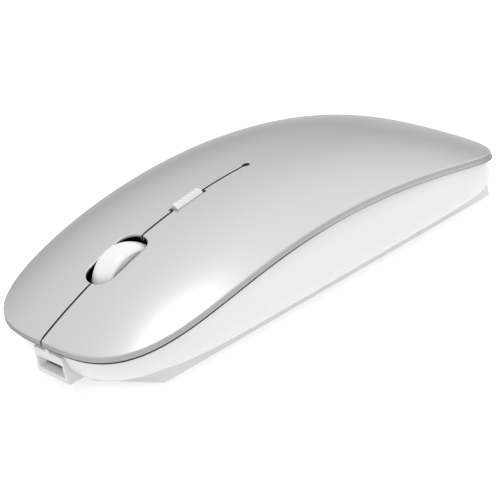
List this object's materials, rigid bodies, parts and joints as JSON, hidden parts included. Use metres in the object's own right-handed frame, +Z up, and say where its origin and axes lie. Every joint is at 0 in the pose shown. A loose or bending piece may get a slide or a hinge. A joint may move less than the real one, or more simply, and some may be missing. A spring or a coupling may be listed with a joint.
{
  "type": "computer mouse",
  "caption": "Slim rechargeable wireless mouse: silver crowned shell with two click panels, white scroll wheel, DPI bar, white bowl housing and nose charging port.",
  "frame": {"origin": "on the table plane under the middle of the mouse's plan", "axes": "+Z up, nose with the charging port towards -Y, tail towards +Y, left button on +X"},
  "size_m": [0.057, 0.113, 0.0252],
  "materials": {
    "silver_shell": "satin silver lacquer",
    "white_gloss": "glossy white",
    "white_satin": "satin white",
    "white_wheel": "smooth white",
    "grey_plastic": "satin grey",
    "black_plastic": "matt black",
    "red_plastic": "satin red",
    "board_green": "green solder mask",
    "steel": "zinc plated",
    "bright_metal": "tin plated",
    "clear_plastic": "clear",
    "glide_pad": "slick matt grey",
    "cell_wrap": "foil",
    "cell_tape": "amber tape",
    "red_lead": "satin red",
    "black_lead": "satin black"
  },
  "bodies": {
    "case": {"palm_shell": "silver_shell", "lower_housing": "white_gloss", "base_plate": "white_satin", "glide_feet": "glide_pad", "case_screws": "steel", "circuit_board": "board_green", "board_screws": "steel", "left_switch": "black_plastic", "right_switch": "black_plastic", "middle_switch": "black_plastic", "dpi_switch": "black_plastic", "usb_receptacle": "bright_metal", "usb_tongue": "black_plastic", "sensor_chip": "black_plastic", "sensor_lens": "clear_plastic", "sensor_lamp": "clear_plastic", "power_switch": "bright_metal", "controller_chip": "black_plastic", "charge_chip": "black_plastic", "crystal": "bright_metal", "wheel_guides": "grey_plastic", "scroll_emitter": "clear_plastic", "scroll_detector": "black_plastic", "battery": "cell_wrap", "battery_guard": "cell_tape", "battery_connector": "white_satin", "battery_lead_red": "red_lead", "battery_lead_black": "black_lead"},
    "left_click_panel": {"left_button": "silver_shell"},
    "right_click_panel": {"right_button": "silver_shell"},
    "left_plunger": {"left_switch_plunger": "red_plastic"},
    "right_plunger": {"right_switch_plunger": "red_plastic"},
    "wheel_frame": {"wheel_carrier": "grey_plastic", "wheel_axle": "steel"},
    "scroll_wheel": {"scroll_tyre": "white_wheel", "wheel_hub": "grey_plastic"},
    "middle_plunger": {"middle_switch_plunger": "white_satin"},
    "dpi_key": {"dpi_button": "white_satin"},
    "dpi_plunger": {"dpi_switch_plunger": "white_satin"},
    "power_slider": {"power_knob": "black_plastic"},
    "receiver": {"radio_receiver": "black_plastic"}
  },
  "joints": [
    {"name": "left_click", "type": "hinge", "parent": "case", "child": "left_click_panel", "pos_m": [0, 0.001, 0.0235], "axis": [1, 0, 0], "range_deg": [0, 0.464], "stiffness_Nm_per_rad": 0.5, "springref_deg": -0.57},
    {"name": "left_plunger_slide", "type": "slide", "parent": "case", "child": "left_plunger", "axis": [0, 0, -1], "range_m": [0, 0.00031]},
    {"name": "right_click", "type": "hinge", "parent": "case", "child": "right_click_panel", "pos_m": [0, 0.001, 0.0235], "axis": [1, 0, 0], "range_deg": [0, 0.464], "stiffness_Nm_per_rad": 0.5, "springref_deg": -0.57},
    {"name": "right_plunger_slide", "type": "slide", "parent": "case", "child": "right_plunger", "axis": [0, 0, -1], "range_m": [0, 0.00031]},
    {"name": "wheel_click", "type": "slide", "parent": "case", "child": "wheel_frame", "axis": [0, 0, -1], "range_m": [0, 0.0003], "stiffness_N_per_m": 200, "springref_m": -0.001},
    {"name": "middle_plunger_slide", "type": "slide", "parent": "case", "child": "middle_plunger", "axis": [0, 0, -1], "range_m": [0, 0.00031]},
    {"name": "wheel_spin", "type": "hinge", "parent": "wheel_frame", "child": "scroll_wheel", "pos_m": [0, -0.0332, 0.0138], "axis": [1, 0, 0], "continuous": true},
    {"name": "dpi_press", "type": "slide", "parent": "case", "child": "dpi_key", "axis": [0, 0, -1], "range_m": [0, 0.0003], "stiffness_N_per_m": 50, "springref_m": -0.002},
    {"name": "dpi_plunger_slide", "type": "slide", "parent": "case", "child": "dpi_plunger", "axis": [0, 0, -1], "range_m": [0, 0.00031]},
    {"name": "power_slide", "type": "slide", "parent": "case", "child": "power_slider", "axis": [0, 1, 0], "range_m": [0, 0.002]},
    {"name": "receiver_pull", "type": "slide", "parent": "case", "child": "receiver", "axis": [0, 0, -1], "range_m": [0, 0.012]}
  ],
  "couplings": [
    {"joint": "left_plunger_slide", "follows": "left_click", "m_per_rad": 0.037},
    {"joint": "right_plunger_slide", "follows": "right_click", "m_per_rad": 0.037},
    {"joint": "middle_plunger_slide", "follows": "wheel_click", "ratio": 1},
    {"joint": "dpi_plunger_slide", "follows": "dpi_press", "ratio": 1}
  ]
}
